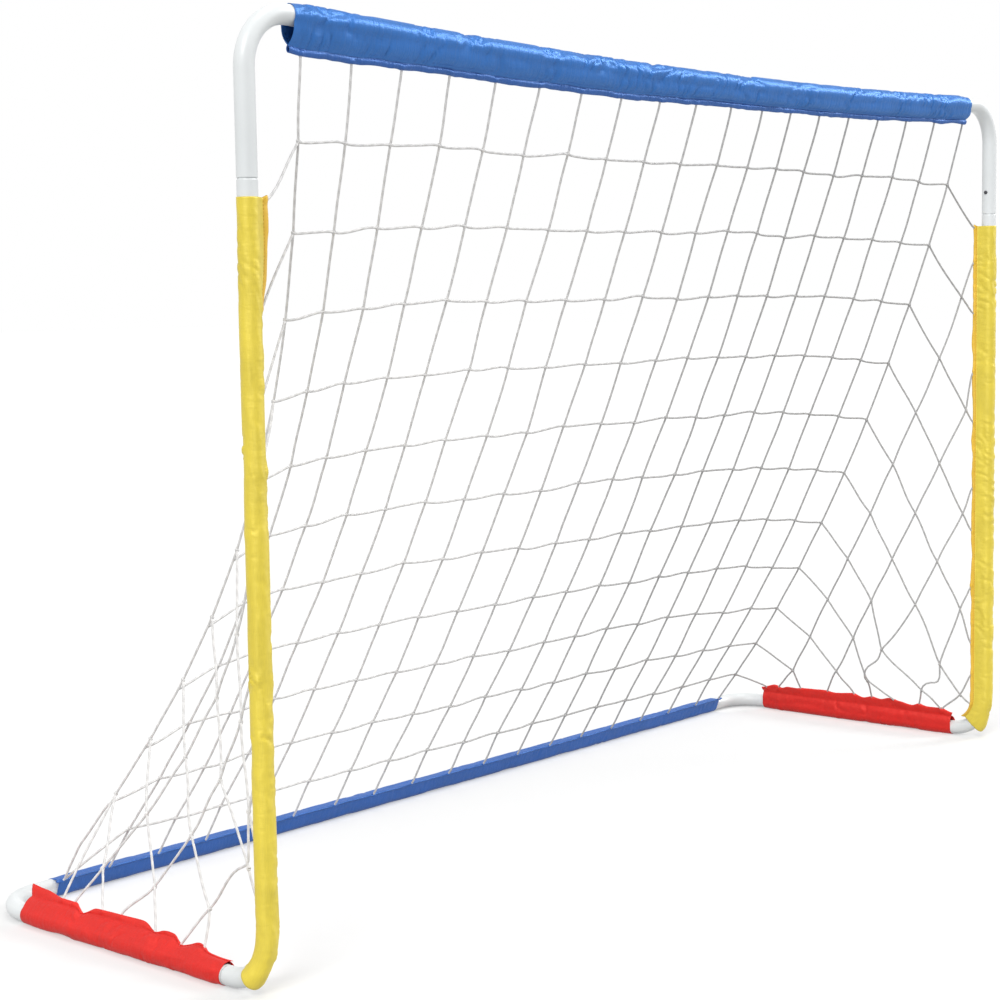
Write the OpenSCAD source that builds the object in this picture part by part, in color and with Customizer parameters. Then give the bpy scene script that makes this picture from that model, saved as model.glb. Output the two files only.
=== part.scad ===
// Portable goal: a push-fit steel tube frame with fabric sleeves and a knotted net.
// X runs along the crossbar, the mouth faces -Y, and +Z is up. The origin is on the
// ground, in the middle of the frame's footprint. All sizes are in millimetres.

/* [Frame] */
// Distance between the axes of the two posts
goal_w = 1800; // [1500:10:2400]
// Height of the crossbar's axis above the ground tubes' axes, at its corners
goal_h = 1145; // [900:5:1500]
// Distance from the posts' axes back to the rear bar's axis
goal_d = 550; // [450:5:800]
// How far the crossbar sags at mid-span
crossbar_bow = 20; // [12:1:40]

/* [Tubes] */
// Outside diameter of the tube
tube_d = 25; // [22:0.5:32]
// Wall of the tube
tube_wall = 1.2; // [0.8:0.1:1.5]
// Radius of every bend, at the tube's axis
bend_r = 65; // [55:1:90]
// Length of the straight bar between two corner pieces, at the top and at the back
bar_l = 1000; // [700:10:1150]
// Straight leg of a top corner, below its bend
top_leg_l = 125; // [90:1:300]
// Straight end of a post's foot, behind its bend
foot_leg_l = 10; // [6:1:40]

/* [Push-fit joints] */
// Length of a swaged spigot inside its socket
spigot_l = 75; // [60:1:85]
// Clearance all round between a spigot and its socket
spigot_gap = 0.2; // [0.1:0.05:0.4]
// Length of the cone where a tube is swaged down to its spigot
swage_l = 3; // [2:0.5:5]
// Distance from a socket's mouth to its snap button
button_inset = 38; // [34:1:44]
// Diameter of a snap button
button_d = 6; // [5:0.5:6]
// How far a snap button stands out of the tube
button_proud = 2.5; // [2:0.5:3]
// Clearance all round a snap button in its holes
button_gap = 0.3; // [0.2:0.1:0.5]
// Diameter of the flange that holds a button in
flange_d = 8.4; // [8:0.2:9]
// Thickness of that flange
flange_t = 1; // [0.8:0.1:1.2]
// Thickness of the spring clip's leaf
clip_t = 0.5; // [0.4:0.1:0.7]
// Width of the spring clip's leaf
clip_w = 6; // [5:0.5:7]
// Length of the spring clip, from its button to its bend
clip_l = 30; // [24:1:32]

/* [Sleeves] */
// Thickness of the sleeve fabric
fabric_t = 0.8; // [0.6:0.1:1.2]
// Gap between the sleeve and the tube
fabric_gap = 0.3; // [0.2:0.1:0.6]
// Distance from the tube's face to where a sleeve's two layers meet
hem_apex = 8.5; // [7:0.5:9]
// Reach of the crossbar sleeve's hem, from the tube's axis
crossbar_hem = 33; // [27:1:45]
// Reach of a post sleeve's hem, from the tube's axis
post_hem = 28; // [26:1:40]
// Reach of a side sleeve's hem, from the tube's axis
side_hem = 37; // [28:1:45]
// Reach of the rear sleeve's hem, from the tube's axis
rear_hem = 24; // [23:1:30]
// How far the side sleeves' hems lean in from upright, in degrees
side_hem_lean = 20; // [0:1:30]
// How far the rear sleeve's hem rises from level, in degrees
rear_hem_rise = 35; // [20:1:60]
// Bare tube between the top corner's bend and the crossbar's sleeve
crossbar_bare = 7; // [2:1:60]
// Bare tube below a post's upper joint
post_bare = 19; // [5:1:60]
// How far round its foot's bend a post's sleeve runs, in degrees
post_wrap = 62; // [20:1:80]
// Bare tube behind a foot's joint
foot_bare = 4; // [2:1:60]
// Bare tube between the rear bend and the end of a side's sleeve
side_bare = 2; // [1:1:60]
// Bare tube between the rear bend and the end of the rear sleeve
rear_bare = 20; // [5:1:80]

/* [Net] */
// Diameter of the twine
twine_d = 3; // [2:0.1:5]
// Distance between two rows of knots
mesh_h = 106; // [95:1:140]
// Drop from the crossbar's hem to the first row of knots
first_row = 90; // [60:1:106]
// Least length of the last mesh, above the rear bar's hem
last_row = 20; // [15:1:60]
// Number of meshes across the back
cells_w = 18; // [14:1:22]
// Distance from the net's side edge to the end of the rear sleeve
edge_inset = 5; // [3:1:30]
// Slack of the back panel, square to a straight line from hem to hem
net_sag = 32; // [0:1:60]
// How far the rows draw the back panel's side edges inwards
edge_in = 58; // [0:1:80]
// How far the side panels draw them forward
edge_forward = 42; // [0:1:80]
// How far they draw them down
edge_drop = 28; // [0:1:40]
// Step of the side panel's upper rows towards the post
side_step = 24; // [15:1:30]
// Drop of the side panel's upper rows at each step
side_drop = 98; // [80:1:110]
// Step of its lowest rows
side_step_low = 64; // [50:1:75]
// Drop of its lowest rows at each step
side_drop_low = 60; // [50:1:80]
// Gap between the end of a strand and what holds it
strand_gap = 0.5; // [0.2:0.1:0.6]

/* [Hidden] */

$fn = 48;
bend_fn = 96;
bow_fn = 3600;
cut = 1;            // how far a cutting shape runs past the face that it cuts
lap = 0.5;          // how far two sections of one tube run into each other
slim = 0.1;         // and how much smaller in diameter the inner one is there

// Tube sections
bore_d = tube_d - 2 * tube_wall;
spigot_d = bore_d - 2 * spigot_gap;
spigot_bore_d = spigot_d - 2 * tube_wall;

// Places of the frame
sleeve_in_r = tube_d / 2 + fabric_gap;
sleeve_out_r = sleeve_in_r + fabric_t;
base_z = sleeve_out_r;
front_y = -goal_d / 2;
rear_y = goal_d / 2;
post_x = goal_w / 2;
bend_x = post_x - bend_r;
top_bend_z = base_z + goal_h - bend_r;
foot_bend_z = base_z + bend_r;
seam_z = top_bend_z - top_leg_l;
foot_seam_y = front_y + bend_r + foot_leg_l;

// The crossbar is one long arc, hanging between the two top bends
bow_r = round((post_x * post_x + crossbar_bow * crossbar_bow) / (2 * crossbar_bow));
bow_z = top_bend_z + sqrt(pow(bow_r + bend_r, 2) - bend_x * bend_x);
bow_turn = asin(bend_x / (bow_r + bend_r));
bow_end_x = bow_r * sin(bow_turn);
function bow_angle(x) = asin(x / bow_r);
function bar_z(x) = bow_z - sqrt(bow_r * bow_r - x * x);

// Snap buttons, from the tube's axis outwards
wall_gap = 0.1;     // between a clip or a flange and the spigot's bore
seat_gap = 0.05;    // between a button's flange and its clip
dome_r = 5;
flange_z = sqrt(pow(spigot_bore_d / 2 - wall_gap, 2) - flange_d * flange_d / 4) - flange_t;
button_top = tube_d / 2 + button_proud;
clip_top = floor(100 * (flange_z - seat_gap)) / 100;
clip_bottom = -floor(100 * sqrt(pow(spigot_bore_d / 2 - wall_gap, 2) - clip_w * clip_w / 4)) / 100;
clip_r = (clip_top - clip_bottom) / 2;

// Sleeve places
hem_t = 2 * fabric_t;
apex_in = tube_d / 2 + hem_apex;
apex_out = apex_in * sleeve_out_r / sleeve_in_r;
apex_narrow = 0.98;                     // the layers leave the tube just inside its outline
crossbar_sleeve_x = bow_end_x - crossbar_bare;
post_sleeve_top = seam_z - swage_l - post_bare;
side_sleeve_front = foot_seam_y + foot_bare;
side_sleeve_rear = rear_y - bend_r - side_bare;
rear_sleeve_x = bend_x - rear_bare;

// Hem edges that the net hangs from
post_hem_x = post_x - post_hem * cos(45);
post_hem_y = front_y + post_hem * cos(45) + strand_gap;
side_hem_x = post_x - side_hem * sin(side_hem_lean);
side_hem_z = base_z + side_hem * cos(side_hem_lean) + strand_gap;
rear_hem_y = rear_y - rear_hem * cos(rear_hem_rise);
rear_hem_z = base_z + rear_hem * sin(rear_hem_rise);

// ---------------------------------------------------------------- tubes

module on_side(side) {
    if (side > 0) mirror([1, 0, 0]) children();
    else children();
}

// Moves onto the crossbar's axis at x, with local X along it and local Z square to it
module on_bow(x)
    translate([x, front_y, bar_z(x)]) rotate([0, -bow_angle(x), 0]) children();

// Sweeps a section along the crossbar's axis; the section's +X points down
module bow_sweep(x0, x1)
    on_bow(x0)
        translate([0, 0, bow_r])
            rotate([90, 0, 0]) rotate([0, 0, -90])
                rotate_extrude(angle = bow_angle(x1) - bow_angle(x0), $fn = bow_fn)
                    translate([bow_r, 0]) children();

module bend(d, angle)
    rotate_extrude(angle = angle, $fn = bend_fn)
        translate([bend_r, 0]) circle(d = d, $fn = 48);

// A tube's swaged end along +Z, with the socket's mouth at zero
module spigot(d, swaged_d, over = 0) {
    translate([0, 0, -swage_l]) cylinder(d1 = d, d2 = swaged_d, h = swage_l);
    cylinder(d = swaged_d, h = spigot_l + over);
}

module top_corner_path(d, over = 0) {
    translate([-post_x, front_y, seam_z - over]) cylinder(d = d, h = top_leg_l + lap + over);
    translate([-bend_x, front_y, top_bend_z])
        rotate([90, 0, 0]) rotate([0, 0, 90 - bow_turn]) bend(d - slim, 90 + bow_turn);
    bow_sweep(-bow_end_x - lap, -bar_l / 2 + over) circle(d = d, $fn = 48);
}

module top_corner(side)
    color("white") on_side(side) difference() {
        top_corner_path(tube_d);
        top_corner_path(bore_d, cut);
        at_button("post") button_hole();
        at_button("crossbar") button_hole();
    }

module crossbar_path(d, swaged_d, over = 0) {
    seam_x = bar_l / 2;
    bow_sweep(-seam_x + swage_l, seam_x - swage_l) circle(d = d, $fn = 48);
    for (side = [-1, 1]) on_side(side) {
        on_bow(-seam_x + swage_l + lap) rotate([0, -90, 0])
            cylinder(d1 = d - slim, d2 = swaged_d - slim, h = swage_l + lap);
        bow_sweep(-seam_x - spigot_l - over, -seam_x + swage_l + 2 * lap)
            circle(d = swaged_d, $fn = 48);
    }
}

module crossbar_tube()
    color("white") difference() {
        crossbar_path(tube_d, spigot_d);
        crossbar_path(bore_d, spigot_bore_d, cut);
        for (side = [-1, 1]) on_side(side) at_button("crossbar") button_hole();
    }

module post_path(d, swaged_d, over = 0) {
    translate([-post_x, front_y, foot_bend_z]) cylinder(d = d, h = seam_z - swage_l - foot_bend_z);
    translate([-post_x, front_y, seam_z]) spigot(d, swaged_d, over);
    translate([-post_x, front_y + bend_r, foot_bend_z])
        rotate([90, 0, 90]) rotate([0, 0, 180]) bend(d, 90);
    translate([-post_x, front_y + bend_r, base_z])
        rotate([-90, 0, 0]) cylinder(d = d, h = foot_leg_l - swage_l);
    translate([-post_x, foot_seam_y, base_z]) rotate([-90, 0, 0]) spigot(d, swaged_d, over);
}

module post(side)
    color("white") on_side(side) difference() {
        post_path(tube_d, spigot_d);
        post_path(bore_d, spigot_bore_d, cut);
        at_button("post") button_hole();
        at_button("foot") button_hole();
    }

module rear_corner_path(d, over = 0) {
    translate([-post_x, foot_seam_y - over, base_z])
        rotate([-90, 0, 0]) cylinder(d = d, h = rear_y - bend_r - foot_seam_y + over);
    translate([-bend_x, rear_y - bend_r, base_z]) rotate([0, 0, 90]) bend(d, 90);
    translate([-bend_x, rear_y, base_z])
        rotate([0, 90, 0]) cylinder(d = d, h = bend_x - bar_l / 2 + over);
}

module rear_corner(side)
    color("white") on_side(side) difference() {
        rear_corner_path(tube_d);
        rear_corner_path(bore_d, cut);
        at_button("foot") button_hole();
        at_button("rear") button_hole();
    }

module rear_bar_path(d, swaged_d, over = 0) {
    seam_x = bar_l / 2;
    translate([-seam_x + swage_l, rear_y, base_z])
        rotate([0, 90, 0]) cylinder(d = d, h = bar_l - 2 * swage_l);
    for (side = [-1, 1]) on_side(side)
        translate([-seam_x, rear_y, base_z]) rotate([0, -90, 0]) spigot(d, swaged_d, over);
}

module rear_bar()
    color("white") difference() {
        rear_bar_path(tube_d, spigot_d);
        rear_bar_path(bore_d, spigot_bore_d, cut);
        for (side = [-1, 1]) on_side(side) at_button("rear") button_hole();
    }

// ---------------------------------------------------------------- snap buttons

// Moves to a joint's button on the left side: local Z points out through the tube's wall,
// local X along the tube that carries the button
module at_button(joint) {
    if (joint == "post")
        translate([-post_x, front_y, seam_z + button_inset]) rotate([0, 90, 0]) children();
    if (joint == "crossbar")
        on_bow(-bar_l / 2 - button_inset) rotate([180, 0, 0]) children();
    if (joint == "foot")
        translate([-post_x, foot_seam_y + button_inset, base_z])
            rotate([0, side_hem_lean, 0]) rotate([0, 0, -90]) children();
    if (joint == "rear")
        translate([-bar_l / 2 - button_inset, rear_y, base_z])
            rotate([90 - rear_hem_rise, 0, 0]) children();
}

module button_hole() cylinder(d = button_d + 2 * button_gap, h = tube_d);

module snap_button(joint, side)
    color("silver") on_side(side) at_button(joint) {
        translate([0, 0, flange_z]) cylinder(d = flange_d, h = flange_t);
        rotate_extrude() intersection() {
            translate([0, flange_z + flange_t]) square([button_d / 2, button_top - flange_z - flange_t]);
            translate([0, button_top - dome_r - 1]) union() {
                translate([0, 1]) circle(r = dome_r);
                translate([0, flange_z - button_top]) square([button_d / 2, dome_r + button_top - flange_z]);
            }
        }
    }

// Hairpin leaf spring inside the spigot: one leg under the button, one on the far wall
module spring_clip(joint, side) {
    bend_at = clip_l - clip_r;
    color("gray") on_side(side) at_button(joint)
        translate([0, clip_w / 2, 0]) rotate([90, 0, 0]) linear_extrude(clip_w) {
            translate([-flange_d / 2, clip_top - clip_t]) square([flange_d / 2 + bend_at, clip_t]);
            translate([-flange_d / 2, clip_bottom]) square([flange_d / 2 + bend_at, clip_t]);
            translate([bend_at, clip_top - clip_r]) difference() {
                circle(r = clip_r);
                circle(r = clip_r - clip_t);
                translate([-tube_d, -tube_d]) square([tube_d, 2 * tube_d]);
            }
        }
}

// ---------------------------------------------------------------- sleeves

// Section of a sleeve round the tube, with its two layers sewn into a hem that points
// towards the angle dir
module sleeve_section(reach, dir)
    rotate(dir) difference() {
        union() {
            circle(r = sleeve_out_r);
            hem_fold(sleeve_out_r * apex_narrow, apex_out);
            translate([apex_in, -hem_t / 2]) square([reach - apex_in, hem_t]);
        }
        circle(r = sleeve_in_r);
        hem_fold(sleeve_in_r * apex_narrow, apex_in);
    }

module hem_fold(half_w, apex) polygon([[0, -half_w], [apex, 0], [0, half_w]]);

module crossbar_sleeve()
    color("royalblue")
        bow_sweep(-crossbar_sleeve_x, crossbar_sleeve_x) sleeve_section(crossbar_hem, 0);

module post_sleeve(side)
    color("gold") on_side(side) {
        translate([-post_x, front_y, foot_bend_z])
            rotate([0, 0, -90])
                linear_extrude(post_sleeve_top - foot_bend_z) sleeve_section(post_hem, 135);
        translate([-post_x, front_y + bend_r, foot_bend_z])
            rotate([90, 0, 90]) rotate([0, 0, 180])
                rotate_extrude(angle = post_wrap, $fn = bend_fn)
                    translate([bend_r, 0]) sleeve_section(post_hem, 135);
    }

module side_sleeve(side)
    color("red") on_side(side)
        translate([-post_x, side_sleeve_front, base_z])
            rotate([-90, 0, 0])
                linear_extrude(side_sleeve_rear - side_sleeve_front)
                    sleeve_section(side_hem, side_hem_lean - 90);

module rear_sleeve()
    color("royalblue")
        translate([-rear_sleeve_x, rear_y, base_z])
            rotate([90, 0, 90])
                linear_extrude(2 * rear_sleeve_x) sleeve_section(rear_hem, 180 - rear_hem_rise);

// ---------------------------------------------------------------- net

// Each knot is a small block with a point on its two faces, and each strand is a square
// prism from block to block, so that a whole panel is one closed surface.
strand_h = twine_d * 0.44;
knot_h = twine_d * 0.9;
net_half_w = rear_sleeve_x - edge_inset;

function unit(v) = v / norm(v);
function mix(a, b, t) = a + (b - a) * t;

// The back panel hangs from the crossbar's hem to the rear bar's hem
net_chord = [0, rear_hem_y - front_y, rear_hem_z - bar_z(0) + crossbar_hem];
net_l = norm(net_chord);
rows_n = floor((net_l - first_row - last_row) / mesh_h) + 1;
sag_dir = unit([0, net_chord[2], -net_chord[1]]);
function row_s(r) = (first_row + (r - 1) * mesh_h) / net_l;
function edge_pull(u) = pow(abs(u), 4);
function back_point(s, c) =
    let (
        u = 2 * c / cells_w - 1,
        x = u * net_half_w,
        hang = max(0, 1 - s / row_s(1)),
        top = [x, front_y, mix(bar_z(0), bar_z(x), hang) - crossbar_hem - strand_gap],
        end = [x, rear_hem_y, rear_hem_z] - strand_gap * unit(net_chord),
        pull = sin(180 * s) * edge_pull(u)
    )
    mix(top, end, s) + 4 * s * (1 - s) * net_sag * sag_dir
        - pull * [sign(u) * edge_in, edge_forward, edge_drop];

// Corners of a knot's block: four at -n, four at +n, then the points on its two faces
function knot_points(p, u, v) =
    let (n = unit(cross(u, v)), w = strand_h / norm(cross(u, v)))
    [for (k = [-strand_h, strand_h]) for (q = [[-w, -w], [w, -w], [w, w], [-w, w]])
        p + q[0] * u + q[1] * v + k * n,
     p - knot_h * n, p + knot_h * n];

// A strand's cut end, past the block's face that crosses w, at p
function end_points(p, u, v, along_u) =
    let (n = unit(cross(u, v)), w = strand_h / norm(cross(u, v)), k = strand_h * n)
    along_u
        ? [p - w * v - k, p + w * v - k, p + w * v + k, p - w * v + k]
        : [p - w * u - k, p - w * u + k, p + w * u + k, p + w * u - k];

knot_size = 10;
POINTED = [[3, 0, 8], [2, 3, 8], [1, 2, 8], [0, 1, 8], [5, 4, 9], [6, 5, 9], [7, 6, 9], [4, 7, 9]];
U_FAR = [1, 2, 6, 5];      // a block's face towards +u, and so on
U_NEAR = [0, 3, 7, 4];
V_FAR = [3, 7, 6, 2];
V_NEAR = [0, 4, 5, 1];
RING = [0, 1, 2, 3];

function shift(list, by) = [for (i = list) i + by];
function pointed(k) = [for (f = POINTED) shift(f, k)];
// The four sides between ring a and ring b, where b lies further along u or v
function tube_faces(a, b) =
    [for (i = RING) let (j = (i + 1) % 4) each [[a[j], a[i], b[j]], [b[j], a[i], b[i]]]];
function far_cap(a) = [[a[2], a[1], a[0]], [a[3], a[2], a[0]]];
function near_cap(a) = [[a[0], a[1], a[2]], [a[0], a[2], a[3]]];

function back_id(r, c) = ((r - 1) * (cells_w + 1) + c) * knot_size;
function back_u(r, c) =
    unit(back_point(row_s(r), min(c + 1, cells_w)) - back_point(row_s(r), max(c - 1, 0)));
function back_v(r, c) = let (d = 0.02, s = row_s(r)) unit(back_point(s + d, c) - back_point(s - d, c));

module net_back() {
    rows = [1:rows_n];
    cols = [0:cells_w];
    tops = rows_n * (cells_w + 1) * knot_size;
    feet = tops + 4 * (cells_w + 1);
    tails = feet + 4 * (cells_w + 1);
    function top_ring(c) = shift(RING, tops + 4 * c);
    function foot_ring(c) = shift(RING, feet + 4 * c);
    function tail_ring(i, side) = shift(RING, tails + 8 * i + 4 * side);
    points = [
        for (r = rows) for (c = cols)
            each knot_points(back_point(row_s(r), c), back_u(r, c), back_v(r, c)),
        for (c = cols) each end_points(back_point(0, c), back_u(1, c), back_v(1, c), false),
        for (c = cols) each end_points(back_point(1, c), back_u(rows_n, c), back_v(rows_n, c), false),
        for (r = bare_rows) let (e = row_end(r, 0)) each concat(
            end_points(e, back_u(r, 0), back_v(r, 0), true),
            end_points([-e[0], e[1], e[2]], back_u(r, cells_w), back_v(r, cells_w), true))
    ];
    faces = [
        for (r = rows) for (c = cols) each pointed(back_id(r, c)),
        for (r = rows) for (c = [0:cells_w - 1])
            each tube_faces(shift(U_FAR, back_id(r, c)), shift(U_NEAR, back_id(r, c + 1))),
        for (r = [1:rows_n - 1]) for (c = cols)
            each tube_faces(shift(V_FAR, back_id(r, c)), shift(V_NEAR, back_id(r + 1, c))),
        for (r = knotted_rows) each near_cap(shift(U_NEAR, back_id(r, 0))),
        for (r = knotted_rows) each far_cap(shift(U_FAR, back_id(r, cells_w))),
        for (i = [0:len(bare_rows) - 1]) let (r = bare_rows[i]) each concat(
            near_cap(tail_ring(i, 0)),
            tube_faces(tail_ring(i, 0), shift(U_NEAR, back_id(r, 0))),
            tube_faces(shift(U_FAR, back_id(r, cells_w)), tail_ring(i, 1)),
            far_cap(tail_ring(i, 1))),
        for (c = cols) each concat(
            near_cap(top_ring(c)),
            tube_faces(top_ring(c), shift(V_NEAR, back_id(1, c))),
            tube_faces(shift(V_FAR, back_id(rows_n, c)), foot_ring(c)),
            far_cap(foot_ring(c)))
    ];
    color("whitesmoke") polyhedron(points, faces);
}

// A side panel carries the back panel's rows on, down towards the post and the side
// tube. It is a skewed lattice, cut off where it meets their hems: r counts the rows
// and j the steps in from the back panel's edge.
steps_n = 8;
post_margin = 5;     // a knot lies at least this far behind the post's hem
rail_margin = 12;    // and this far above the side tube's hem
hem_margin = 4;      // a strand meets a hem this far from the hem's end
function low(r) = pow(r / (rows_n + 1), 2);
function side_step_v(r) =
    [0, -mix(side_step, side_step_low, low(r)), -mix(side_drop, side_drop_low, low(r))];
function edge_point(r) = back_point(row_s(r), 0);
// Across the panel, x runs from the post's hem to the back panel's edge, and out to the
// side tube's hem near the ground
function side_x(r, y, z) =
    let (
        e = edge_point(r),
        across = min(1, max(0, (y - post_hem_y) / (e[1] - post_hem_y))),
        up = min(1, max(0, (z - side_hem_z) / (base_z + goal_h / 4 - side_hem_z)))
    )
    mix(mix(-side_hem_x, -post_hem_x, up), e[0], across * sqrt(up));
function side_place(r, p) = [side_x(r, p[1], p[2]), p[1], p[2]];
function lattice(r, j) = edge_point(r) + j * side_step_v(r);
function side_point(r, j) = side_place(r, lattice(r, j));
function is_knot(r, j) =
    let (p = lattice(r, j))
    r >= 1 && r <= rows_n && j >= 1 && j <= steps_n
        && p[1] > post_hem_y + post_margin && p[2] > side_hem_z + rail_margin;

// Where the line from p to q meets the post's hem or the side tube's hem
function on_post(p, q) =
    let (t = (p[1] - post_hem_y) / (p[1] - q[1]), z = mix(p[2], q[2], t))
    [-post_hem_x, post_hem_y, min(post_sleeve_top - hem_margin, max(foot_bend_z + hem_margin, z))];
function on_rail(p, q) =
    let (t = (p[2] - side_hem_z) / (p[2] - q[2]), y = mix(p[1], q[1], t))
    [-side_hem_x, min(side_sleeve_rear - hem_margin, max(side_sleeve_front + hem_margin, y)), side_hem_z];
function meets_post(p, q) =
    (p[1] - post_hem_y) / (p[1] - q[1]) * (p[2] - q[2]) < p[2] - side_hem_z;
function row_end(r, j) =
    let (p = lattice(r, j), q = lattice(r, j + 1)) meets_post(p, q) ? on_post(p, q) : on_rail(p, q);
function last_knot(r) = max([0, for (j = [1:steps_n]) if (is_knot(r, j)) j]);
function first_row_of(j) = min([for (r = [1:rows_n]) if (is_knot(r, j)) r]);
function last_row_of(j) = max([for (r = [1:rows_n]) if (is_knot(r, j)) r]);
function row_start(r) =
    let (p = edge_point(r), q = last_knot(r) > 0 ? side_point(r, 1) : row_end(r, 0))
    p + (strand_h + strand_gap) * unit(q - p) / sin(acos(abs(unit(q - p) * back_v(r, 0))));

bare_rows = [for (r = [1:rows_n]) if (last_knot(r) == 0) r];
knotted_rows = [for (r = [1:rows_n]) if (last_knot(r) > 0) r];
side_cols = [1:max([for (r = knotted_rows) last_knot(r)])];
knots_before = [for (r = 1, n = 0; r <= rows_n; n = n + last_knot(r), r = r + 1) n];
function side_id(r, j) = (knots_before[r - 1] + j - 1) * knot_size;
function side_u(r, j) = unit(side_point(r, j + 1) - side_point(r, max(j - 1, 0)));
function side_v(r, j) =
    let (below = is_knot(r + 1, j) ? side_point(r + 1, j) : side_point(r, j),
         above = is_knot(r - 1, j) ? side_point(r - 1, j) : side_point(r, j))
    norm(below - above) > 0 ? unit(below - above) : back_v(r, 0);

module net_side(side) {
    starts = (knots_before[rows_n - 1] + last_knot(rows_n)) * knot_size;
    stops = starts + 4 * len(knotted_rows);
    tops = stops + 4 * len(knotted_rows);
    feet = tops + 4 * len([for (j = side_cols) j]);
    function start_ring(r) = shift(RING, starts + 4 * (r - knotted_rows[0]));
    function stop_ring(r) = shift(RING, stops + 4 * (r - knotted_rows[0]));
    function top_ring(j) = shift(RING, tops + 4 * (j - 1));
    function foot_ring(j) = shift(RING, feet + 4 * (j - 1));
    points = [
        for (r = knotted_rows) for (j = [1:last_knot(r)])
            each knot_points(side_point(r, j), side_u(r, j), side_v(r, j)),
        for (r = knotted_rows) each end_points(row_start(r), side_u(r, 1), side_v(r, 1), true),
        for (r = knotted_rows) let (j = last_knot(r))
            each end_points(row_end(r, j), side_u(r, j), side_v(r, j), true),
        for (j = side_cols) let (r = first_row_of(j), p = on_post(lattice(r, j), lattice(r - 1, j)))
            each end_points(p, side_u(r, j), side_v(r, j), false),
        for (j = side_cols) let (r = last_row_of(j), p = on_rail(lattice(r, j), lattice(r + 1, j)))
            each end_points(p, side_u(r, j), side_v(r, j), false)
    ];
    faces = [
        for (r = knotted_rows) for (j = [1:last_knot(r)]) each pointed(side_id(r, j)),
        for (r = knotted_rows) for (j = [1:last_knot(r)]) if (is_knot(r, j + 1))
            each tube_faces(shift(U_FAR, side_id(r, j)), shift(U_NEAR, side_id(r, j + 1))),
        for (r = knotted_rows) for (j = [1:last_knot(r)]) if (is_knot(r + 1, j))
            each tube_faces(shift(V_FAR, side_id(r, j)), shift(V_NEAR, side_id(r + 1, j))),
        for (r = knotted_rows) each concat(
            near_cap(start_ring(r)),
            tube_faces(start_ring(r), shift(U_NEAR, side_id(r, 1))),
            tube_faces(shift(U_FAR, side_id(r, last_knot(r))), stop_ring(r)),
            far_cap(stop_ring(r))),
        for (j = side_cols) each concat(
            near_cap(top_ring(j)),
            tube_faces(top_ring(j), shift(V_NEAR, side_id(first_row_of(j), j))),
            tube_faces(shift(V_FAR, side_id(last_row_of(j), j)), foot_ring(j)),
            far_cap(foot_ring(j)))
    ];
    color("whitesmoke") on_side(side) polyhedron(points, faces);
}

// ---------------------------------------------------------------- the goal

top_corner(-1);  // top_corner_left
top_corner(1);  // top_corner_right
crossbar_tube();
post(-1);  // post_left
post(1);  // post_right
rear_corner(-1);  // rear_corner_left
rear_corner(1);  // rear_corner_right
rear_bar();
snap_button("post", -1);  // button_post_left
snap_button("post", 1);  // button_post_right
snap_button("crossbar", -1);  // button_crossbar_left
snap_button("crossbar", 1);  // button_crossbar_right
snap_button("foot", -1);  // button_foot_left
snap_button("foot", 1);  // button_foot_right
snap_button("rear", -1);  // button_rear_left
snap_button("rear", 1);  // button_rear_right
spring_clip("post", -1);  // clip_post_left
spring_clip("post", 1);  // clip_post_right
spring_clip("crossbar", -1);  // clip_crossbar_left
spring_clip("crossbar", 1);  // clip_crossbar_right
spring_clip("foot", -1);  // clip_foot_left
spring_clip("foot", 1);  // clip_foot_right
spring_clip("rear", -1);  // clip_rear_left
spring_clip("rear", 1);  // clip_rear_right
crossbar_sleeve();
post_sleeve(-1);  // post_sleeve_left
post_sleeve(1);  // post_sleeve_right
side_sleeve(-1);  // side_sleeve_left
side_sleeve(1);  // side_sleeve_right
rear_sleeve();
net_back();
net_side(-1);  // net_left
net_side(1);  // net_right
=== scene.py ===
"""A portable goal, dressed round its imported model: powder-coated tubes, satin sleeves with
sewn hems, and a knotted twine net. Lengths are in millimetres until a mesh is made."""

import math

import bpy
import numpy as np
from mathutils import Matrix, Vector


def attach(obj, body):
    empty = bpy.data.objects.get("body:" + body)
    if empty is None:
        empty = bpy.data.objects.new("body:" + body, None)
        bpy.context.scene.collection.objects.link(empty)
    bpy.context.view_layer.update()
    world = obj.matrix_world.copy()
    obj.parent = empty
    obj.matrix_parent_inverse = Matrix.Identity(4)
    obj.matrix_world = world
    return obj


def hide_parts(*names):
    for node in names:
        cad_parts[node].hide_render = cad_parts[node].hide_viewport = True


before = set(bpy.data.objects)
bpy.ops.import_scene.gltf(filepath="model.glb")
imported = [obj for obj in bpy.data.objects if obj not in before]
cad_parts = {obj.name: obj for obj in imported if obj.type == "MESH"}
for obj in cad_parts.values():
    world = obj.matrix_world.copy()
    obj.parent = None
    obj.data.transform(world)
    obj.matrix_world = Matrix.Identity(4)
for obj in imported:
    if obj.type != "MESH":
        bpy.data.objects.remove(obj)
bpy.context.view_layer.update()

BODY = "goal"
MM = 0.001

# ------------------------------------------------------------------ places of the frame
CLOTH_R = 13.1  # a sleeve's outside
CLOTH_T = 0.5
HEM_HALF = 0.8  # half the thickness of a hem's two layers
POST_X, FRONT_Y, REAR_Y = 900.0, -275.0, 275.0
GOAL_H = 1145.0
BASE_Z = 13.6
BEND_R = 65.0
BOW_R, BOW_Z = 20260.0, 21401.44  # the crossbar's arc and its centre's height
STRAND_GAP = 0.5
LOWEST = 0.25  # no cloth lies lower than this over the floor

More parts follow.
